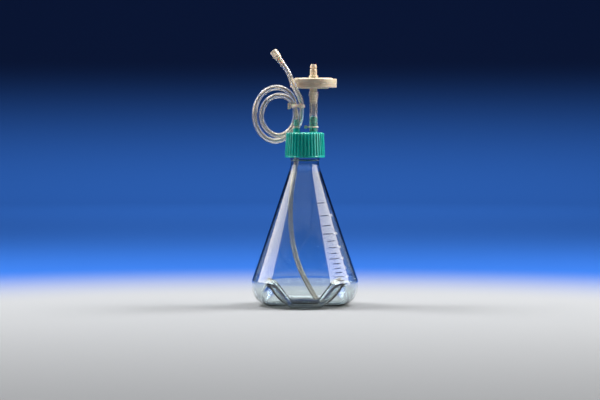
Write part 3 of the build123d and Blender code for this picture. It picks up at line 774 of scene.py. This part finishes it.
def make_line(name, route, body, node, far_end, swell, barb_length, bend=()):
    """A thin silicone tube that swells a little over the barbs in its ends."""
    points = route_points(name, route)
    along = run_lengths(points)
    from_end = along if far_end == "bare" else np.minimum(along, along[-1] - along)
    over_barb = 0.5 - 0.5 * np.tanh((from_end - barb_length) / (1.2 * MM))
    outer = LINE_R + swell * over_barb
    inner = LINE_BORE_R + (LINE_GRIP_R - LINE_BORE_R) * over_barb
    piece = new_piece(name, *hollow_tube(points, outer, inner), MATERIALS["silicone"], sharp=50)
    install(piece, body, [node], bend)
    return piece, points


transfer_line, transfer_points = make_line(
    "transfer_line", LINE_ROUTE, "head", "transfer_tube", "connector", 0.25 * MM, 10.5 * MM)
dip_line, dip_points = make_line(
    "dip_line", DIP_ROUTE, "head", "dip_tube", "bare", 0.25 * MM, 11.0 * MM,
    bend=("dip", (-PORT_X, 0, 0.189), (-PORT_X, 0, 0.160)))


VENT_TUBE_R = 4.76 * MM
VENT_TUBE_BORE_R = 3.18 * MM
VENT_TUBE_TOP_Z = 262.3 * MM
FILTER_BARB_Z = LOWER_LOW.z
BARB_SWELL = 0.35 * MM
TOP_SWELL_R = 5.95 * MM


def make_vent_tube():
    """The short thick tube between the vent port and the filter."""
    wall = VENT_TUBE_R
    outline = rounded([
        (VENT_GRIP_R, VENT_STUB_TOP_Z, 0), (wall + BARB_SWELL, VENT_STUB_TOP_Z, 0.4 * MM),
        (wall + BARB_SWELL, VENT_BARB_TOP_Z - 1 * MM, 8 * MM), (wall, VENT_BARB_TOP_Z + 3 * MM, 8 * MM),
        (wall, FILTER_BARB_Z - 1 * MM, 8 * MM), (wall + BARB_SWELL, FILTER_BARB_Z + 2.5 * MM, 8 * MM),
        (wall + BARB_SWELL, VENT_TUBE_TOP_Z - 5.8 * MM, 1 * MM),
        (TOP_SWELL_R, VENT_TUBE_TOP_Z - 4.2 * MM, 1.2 * MM), (TOP_SWELL_R, VENT_TUBE_TOP_Z, 1.2 * MM),
        (VENT_GRIP_R, VENT_TUBE_TOP_Z, 0),
        (VENT_GRIP_R, FILTER_BARB_Z + 0.5 * MM), (VENT_TUBE_BORE_R, FILTER_BARB_Z - 1 * MM),
        (VENT_TUBE_BORE_R, VENT_BARB_TOP_Z + 1 * MM), (VENT_GRIP_R, VENT_BARB_TOP_Z - 0.5 * MM),
    ], 0.5 * MM, steps=6)
    verts, faces = moved(lathe(outline, 64), at(PORT_X))
    piece = new_piece("vent_line", verts, faces, MATERIALS["silicone"], sharp=50)
    return install(piece, "head", ["vent_tube"])


make_vent_tube()


# ---- vent filter ----
DISC_R = (DISC_HIGH.x - DISC_LOW.x) / 2
DISC_Z = 266.6 * MM
DISC_TOP_Z = 279.2 * MM
SEAM_Z = 272.9 * MM
HUB_R = 4.6 * MM
SHELL = 1.8 * MM
CAVITY_R = 25.2 * MM
LOWER_FACE_R = 18.7 * MM
UPPER_FACE_R = 23.2 * MM
HOSE_FOOT_R = 5.55 * MM
HOSE_FOOT_TOP_Z = 282.4 * MM
HOSE_STEM_R = 4.2 * MM
HOSE_NECK_R = 3.5 * MM
HOSE_NECK_LOW_Z = 290.2 * MM
HOSE_NECK_HIGH_Z = 291.0 * MM
SPOKES = 12


def spokes(inner_r, outer_r, z, height, width):
    """Low radial ribs on the face of the filter disc."""
    rib = moved(block((outer_r - inner_r, width, height), 0.25 * MM), at((inner_r + outer_r) / 2, 0, z))
    return [moved(rib, Matrix.Rotation(FULL_TURN * k / SPOKES, 4, "Z")) for k in range(SPOKES)]


def make_filter():
    """The two halves of the disc filter, welded at a seam, with ribs on both faces."""
    bore = VENT_BARB_BORE_R
    groove = 0.35 * MM
    hub_low = VENT_TUBE_TOP_Z + 0.1 * MM
    rim_low, rim_high = DISC_Z + 0.9 * MM, DISC_TOP_Z - 1.0 * MM
    lower = rounded([
        (bore, DISC_Z + SHELL), (bore, hub_low, 0.2 * MM), (HUB_R, hub_low, 0.6 * MM),
        (HUB_R, DISC_Z, 1.2 * MM), (LOWER_FACE_R, DISC_Z, 0.5 * MM),
        (LOWER_FACE_R + 0.6 * MM, rim_low, 0.3 * MM), (DISC_R - 0.2 * MM, rim_low, 0.9 * MM),
        (DISC_R - 0.2 * MM, SEAM_Z - 1.4 * MM, 0.3 * MM), (DISC_R, SEAM_Z - 1.1 * MM, 0.3 * MM),
        (DISC_R, SEAM_Z - 0.3 * MM, 0.25 * MM), (DISC_R - groove, SEAM_Z, 0),
        (CAVITY_R, SEAM_Z), (CAVITY_R, DISC_Z + SHELL, 0.8 * MM),
    ], 0.3 * MM, steps=5)
    upper = rounded([
        (CAVITY_R, SEAM_Z), (DISC_R - groove, SEAM_Z, 0), (DISC_R, SEAM_Z + 0.3 * MM, 0.25 * MM),
        (DISC_R, rim_high, 0.9 * MM), (UPPER_FACE_R + 0.8 * MM, rim_high, 0.3 * MM),
        (UPPER_FACE_R, DISC_TOP_Z, 0.5 * MM), (HOSE_FOOT_R, DISC_TOP_Z, 0.6 * MM),
        (HOSE_FOOT_R, HOSE_FOOT_TOP_Z, 0.5 * MM), (HOSE_STEM_R, HOSE_FOOT_TOP_Z, 0.3 * MM),
        (HOSE_STEM_R, HOSE_NECK_LOW_Z - 0.6 * MM, 0.3 * MM), (HOSE_NECK_R, HOSE_NECK_LOW_Z, 0.2 * MM),
        (HOSE_NECK_R, HOSE_NECK_HIGH_Z, 0.2 * MM), (4.25 * MM, HOSE_NECK_HIGH_Z + 0.5 * MM, 0.2 * MM),
        (4.1 * MM, HOSE_NECK_HIGH_Z + 1.8 * MM, 0.6 * MM), (3.2 * MM, DISC_HIGH.z, 0.4 * MM),
        (bore, DISC_HIGH.z, 0.2 * MM), (bore, DISC_TOP_Z - SHELL), (CAVITY_R, DISC_TOP_Z - SHELL, 0.8 * MM),
    ], 0.3 * MM, steps=5)
    barb = barb_outline(*VENT_BARB, VENT_TUBE_TOP_Z + 0.5 * MM, FILTER_BARB_Z, 3, bore)
    # The barb's lighter ivory is painted light, not a different plastic.
    barb_piece = new_piece("filter_barb", *moved(lathe(barb, 48), at(PORT_X)), MATERIALS["painted_lit_ivory"])
    install(barb_piece, "head")
    lower_parts = [lathe(lower, 192)]
    spoke_size = (0.5 * MM, 1.1 * MM)
    lower_parts += spokes(HUB_R + 0.6 * MM, LOWER_FACE_R - 0.8 * MM, DISC_Z - 0.05 * MM, *spoke_size)
    upper_parts = [lathe(upper, 192)]
    upper_parts += spokes(
        HOSE_FOOT_R + 0.85 * MM, UPPER_FACE_R - 0.6 * MM, DISC_TOP_Z + 0.05 * MM, *spoke_size)
    for name, parts in (("filter_lower", lower_parts), ("filter_upper", upper_parts)):
        verts, faces = moved(merged(parts), at(PORT_X))
        piece = new_piece(name, verts, faces, MATERIALS["ivory"], sharp=40)
        install(piece, "head", [name + "_housing"])


make_filter()


# ---- luer connector ----
LUER_FLANGE_H = 1.8 * MM
LUER_GAP = 0.3 * MM
LUER_COLLAR_R = 4.75 * MM
LUER_COLLAR_H = 9.6 * MM
LUER_STEM_R = 2.6 * MM
LUER_TIP_Z = 12.0 * MM
LUER_BARB_H = 8.0 * MM
LUER_RIBS = 10
LUER_RIB_DEPTH = 0.38 * MM
LUER_FLANGE_R = 4.1 * MM
LUER_CUP_BORE_R = 3.85 * MM
LUER_FLOOR = 1.2 * MM


def luer_matrix():
    """Places the connector at the tube's end, along its last run."""
    end = Vector(LINE_ROUTE[-1])
    along = (end - Vector(LINE_ROUTE[-2])).normalized()
    return Matrix.Translation(end) @ Vector((0, 0, 1)).rotation_difference(along).to_matrix().to_4x4()


def make_luer():
    """The male luer tip on its barb, and the turning lock collar round it."""
    place = luer_matrix()
    bore = LINE_BARB_BORE_R
    collar_top = LUER_FLANGE_H + LUER_GAP + 1.4 * MM
    tip = rounded([
        (bore, 0, 0), (LUER_FLANGE_R - 0.5 * MM, 0), (LUER_FLANGE_R, 0.5 * MM),
        (LUER_FLANGE_R, LUER_FLANGE_H), (LUER_STEM_R, LUER_FLANGE_H), (LUER_STEM_R, collar_top),
        (2.95 * MM, collar_top + 0.3 * MM), (2.1 * MM, collar_top + 1.1 * MM),
        (1.98 * MM, LUER_TIP_Z), (bore, LUER_TIP_Z, 0),
    ], 0.25 * MM)
    barb = barb_outline(*LINE_BARB, 0.3 * MM, -LUER_BARB_H, 2, bore)
    tip_parts = merged([lathe(tip, 48), lathe(barb, 32)])
    fitting = new_piece("luer_tip", *moved(tip_parts, place), MATERIALS["cream"])
    install(fitting, "head", ["luer_fitting"])

    low = LUER_FLANGE_H + LUER_GAP
    high = low + LUER_COLLAR_H
    body_r = LUER_COLLAR_R - 0.4 * MM
    cup = rounded([
        (LUER_STEM_R + 0.1 * MM, low), (body_r - 0.4 * MM, low), (body_r, low + 0.8 * MM, 0.6 * MM),
        (body_r, high - 1.8 * MM), (LUER_COLLAR_R, high - 1.3 * MM), (LUER_COLLAR_R, high),
        (LUER_CUP_BORE_R, high), (LUER_CUP_BORE_R, low + LUER_FLOOR),
        (LUER_STEM_R + 0.1 * MM, low + LUER_FLOOR),
    ], 0.3 * MM, steps=5)

    def winged(radius, height, azimuth):
        rib = np.clip(np.cos(azimuth * LUER_RIBS) * 2.2 - 0.9, 0, 1)
        foot = np.clip((height - low - 0.6 * MM) / (0.8 * MM), 0, 1)
        reach = foot * np.clip((high - 1.6 * MM - height) / (0.6 * MM), 0, 1)
        return radius + (radius > body_r - 0.1 * MM) * LUER_RIB_DEPTH * rib * reach

    dense_cup = dense(np.vstack([cup, cup[:1]]), 0.5 * MM)[:-1]
    collar = new_piece("luer_lock", *moved(lathe(dense_cup, 120, winged), place), MATERIALS["frost"])
    install(collar, "luer_collar", ["luer_lock_collar"])
    return fitting, collar


luer_pieces = make_luer()


# ---- cable ties ----
TIE_T = 1.1 * MM
TIE_STRAP_H = 1.8 * MM
VENT_TIE_Z = 219.3 * MM
PORT_TIE_Z = 219.0 * MM
COIL_TIE_Z = 245.0 * MM
COIL_STRAP_H = 3.6 * MM


def hull(points):
    """The convex outline of 2-D points, counter-clockwise."""
    points = sorted(set((round(x, 7), round(y, 7)) for x, y in points))

    def chain(ordered):
        out = []
        for p in ordered:
            while len(out) > 1 and ((out[-1][0] - out[-2][0]) * (p[1] - out[-2][1])
                                    - (out[-1][1] - out[-2][1]) * (p[0] - out[-2][0])) <= 0:
                out.pop()
            out.append(p)
        return out[:-1]

    return chain(points) + chain(points[::-1])


def circle_points(x, y, radius, count=48):
    """Points round a circle."""
    return [(x + radius * math.cos(FULL_TURN * k / count), y + radius * math.sin(FULL_TURN * k / count))
            for k in range(count)]


def strap(circles, z, height, thickness):
    """A flat band pulled round some circles, with bevelled edges."""
    inner = hull([p for x, y, r in circles for p in circle_points(x, y, r)])
    outer = hull([p for x, y, r in circles for p in circle_points(x, y, r + thickness)])
    centre = np.mean(np.array(inner), axis=0)
    turns = np.linspace(0, FULL_TURN, 97)[:-1]

    def sampled(loop):
        loop = np.array(loop) - centre
        angle = np.unwrap(np.arctan2(loop[:, 1], loop[:, 0]))
        order = np.argsort(angle % FULL_TURN)
        angle, reach = (angle % FULL_TURN)[order], np.hypot(*loop.T)[order]
        reach = np.interp(turns, angle, reach, period=FULL_TURN)
        return np.stack([np.cos(turns), np.sin(turns)], axis=-1) * reach[:, None]

    near, far = sampled(inner), sampled(outer)
    bevel = 0.22
    section = [(0, -1 + bevel), (bevel, -1), (1 - bevel, -1), (1, -1 + bevel),
               (1, 1 - bevel), (1 - bevel, 1), (bevel, 1), (0, 1 - bevel)]
    verts = []
    for share, side in section:
        ring = near + (far - near) * share + centre
        verts += [(x, y, z + side * height / 2) for x, y in ring]
    return verts, grid_faces(len(section), len(turns), closed_rows=True)


def tie_head(size, tail):
    """A cable tie's head along +X, with its cut tail standing out of it."""
    length, width, height = size
    return merged([
        moved(block(size, 0.45 * MM), at(length / 2)),
        moved(block((length * 0.5, width * 1.06, height * 0.42), 0.2 * MM), at(length * 0.52)),
        moved(block((TIE_T, width + 2 * tail, height * 0.4), 0.15 * MM), at(length * 0.7, tail / 2, 0)),
    ])


def make_round_tie(name, node, x, z, tube_r, head_way, neck):
    """A strap round one tube with its head on a short neck."""
    turn = at(x, 0, z) @ Matrix.Rotation(math.radians(head_way), 4, "Z")
    reach = tube_r + TIE_T / 2
    parts = [
        moved(strap([(0, 0, tube_r)], 0, TIE_STRAP_H, TIE_T), turn),
        moved(block((neck + TIE_T, 1.5 * MM, TIE_STRAP_H), 0.2 * MM), turn @ at(reach + neck / 2)),
        moved(tie_head((3.3 * MM, 3.4 * MM, 3.8 * MM), 0.6 * MM), turn @ at(reach + neck)),
    ]
    piece = new_piece(name, *merged(parts), MATERIALS["nylon"])
    return install(piece, "head", [node])


make_round_tie("vent_clip", "vent_tube_tie", PORT_X, VENT_TIE_Z, VENT_TUBE_R + BARB_SWELL, 180, 2.2 * MM)
make_round_tie("port_clip", "transfer_tube_tie", -PORT_X, PORT_TIE_Z, LINE_R + 0.24 * MM, 80, 0.4 * MM)


def make_coil_tie():
    """The strap round the passes of the transfer line, where they run side by side."""
    circles = []
    for p in transfer_points:
        if abs(p.z - COIL_TIE_Z) < COIL_STRAP_H / 2 and p.x > -20 * MM:
            circles.append((p.x, p.y, LINE_R + 0.1 * MM))
    left = min(x for x, y, r in circles) - LINE_R - TIE_T
    head = at(left + 0.7 * MM, 0.5 * MM, COIL_TIE_Z) @ Matrix.Rotation(math.pi, 4, "Z")
    parts = [
        strap(circles, COIL_TIE_Z, COIL_STRAP_H, TIE_T),
        moved(tie_head((4.0 * MM, 5.2 * MM, 7.4 * MM), 0.8 * MM), head),
    ]
    piece = new_piece("coil_clip", *merged(parts), MATERIALS["nylon"])
    return install(piece, "head", ["coil_tie"])


make_coil_tie()

# ---- CAD nodes that stay ----
for node, material in (
    ("cap_gasket", "seal"), ("filter_membrane", "membrane"), ("lower_membrane_support", "ivory"),
    ("upper_membrane_support", "ivory"),
):
    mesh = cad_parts[node].data
    mesh.materials.clear()
    mesh.materials.append(MATERIALS[material])


# ---- studio ----
FLOOR_COLOR = (0.25, 0.258, 0.27)
WALL_COLOR = (0.02, 0.09, 0.35)
# Painted shade: the wall's colour darkens with height towards this, standing in for the light falling off
# up the wall.
WALL_TOP_SHADE_COLOR = (0.002, 0.006, 0.026)
FLOOR_CENTRE_Y = -0.45
FLOOR_PALE_R = 0.6
FLOOR_DARK_R = 1.15
FLOOR_R = 3.1
SWEEP_R = 0.9
WALL_TOP = 4.0
WALL_SHADE_Z = 0.4
WARM = (1.0, 0.9, 0.75)
WORLD_COLOR = (0.55, 0.6, 0.68, 1)
WORLD_STRENGTH = 0.13


def map_range(tree, value, low, high, top):
    """A smooth step from 0 at low to top at high."""
    span = tree.nodes.new("ShaderNodeMapRange")
    span.interpolation_type = "SMOOTHSTEP"
    span.inputs["From Min"].default_value = low
    span.inputs["From Max"].default_value = high
    span.inputs["To Max"].default_value = top
    tree.links.new(value, span.inputs["Value"])
    return span.outputs["Result"]


def make_backdrop():
    """A round floor, pale near the flask, that turns blue and sweeps up into a wall all round; the wall's
    colour darkens with height as painted shade.
    """
    sweep = [(FLOOR_R + SWEEP_R * math.sin(t), SWEEP_R - SWEEP_R * math.cos(t))
             for t in np.linspace(0, math.pi / 2, 16)]
    profile = [(0.001, 0.0), (0.5, 0.0), (1.5, 0.0), *sweep, (FLOOR_R + SWEEP_R, WALL_TOP)]
    columns = 128
    verts, faces = lathe(np.array(profile), columns)
    material = new_material("backdrop", FLOOR_COLOR, 0.9, Specular_IOR_Level=0.02)
    tree = material.node_tree
    place = tree.nodes.new("ShaderNodeTexCoord")
    out = tree.nodes.new("ShaderNodeVectorMath")
    out.operation = "LENGTH"
    split = tree.nodes.new("ShaderNodeSeparateXYZ")
    total = tree.nodes.new("ShaderNodeMath")
    ramp = tree.nodes.new("ShaderNodeValToRGB")
    middle = ramp.color_ramp.elements.new(0.5)
    for element, color in zip((ramp.color_ramp.elements[0], middle, ramp.color_ramp.elements[2]),
                              (FLOOR_COLOR, WALL_COLOR, WALL_TOP_SHADE_COLOR)):
        element.color = (*color, 1.0)
    shift = tree.nodes.new("ShaderNodeVectorMath")
    shift.inputs[1].default_value = (0, -FLOOR_CENTRE_Y, 0)
    tree.links.new(place.outputs["Object"], shift.inputs[0])
    tree.links.new(shift.outputs["Vector"], out.inputs[0])
    tree.links.new(place.outputs["Object"], split.inputs["Vector"])
    tree.links.new(map_range(tree, out.outputs["Value"], FLOOR_PALE_R, FLOOR_DARK_R, 0.5), total.inputs[0])
    tree.links.new(map_range(tree, split.outputs["Z"], 0.0, WALL_SHADE_Z, 0.5), total.inputs[1])
    tree.links.new(total.outputs["Value"], ramp.inputs["Fac"])
    tree.links.new(ramp.outputs["Color"], tree.nodes["Principled BSDF"].inputs["Base Color"])
    backdrop = new_piece("backdrop", verts, faces[:-columns], material, merge=False)
    backdrop.location.z = -0.15 * MM


def add_softbox(name, azimuth, distance, height, size, power, color=(1, 1, 1), aim=(0, 0, 0.12)):
    """A rectangular light at an azimuth from the front, aimed at the flask or elsewhere."""
    data = bpy.data.lights.new(name, "AREA")
    data.shape = "RECTANGLE"
    data.size, data.size_y = size
    data.energy = power
    data.color = color
    light = bpy.data.objects.new(name, data)
    bpy.context.scene.collection.objects.link(light)
    turn = math.radians(azimuth - 90)
    light.location = (distance * math.cos(turn), distance * math.sin(turn), height)
    aim_at(light, aim)


def make_studio():
    """The backdrop, strips and high lights at both sides, and lights for the floor and the wall."""
    make_backdrop()
    add_softbox("left_strip", -104, 1.3, 0.62, (1.05, 0.75), 8.5, WARM)
    add_softbox("right_strip", 88, 1.3, 0.62, (1.3, 0.75), 12.5, WARM)
    add_softbox("left_high", -105, 0.9, 1.4, (0.6, 0.5), 37)
    add_softbox("right_high", 105, 0.9, 1.4, (0.6, 0.5), 39)
    add_softbox("front_fill", 0, 1.6, 2.4, (1.6, 0.8), 3)
    add_softbox("top_light", 180, 0.8, 1.9, (1.4, 0.8), 13)
    add_softbox("wall_wash", 180, 2.4, 1.6, (3.0, 0.6), 50, aim=(0, FLOOR_R + SWEEP_R, 0.1))
    world = bpy.data.worlds.new("studio")
    world.use_nodes = True
    world.node_tree.nodes["Background"].inputs["Color"].default_value = WORLD_COLOR
    world.node_tree.nodes["Background"].inputs["Strength"].default_value = WORLD_STRENGTH
    bpy.context.scene.world = world
    bpy.context.scene.view_settings.view_transform = "Standard"


make_studio()
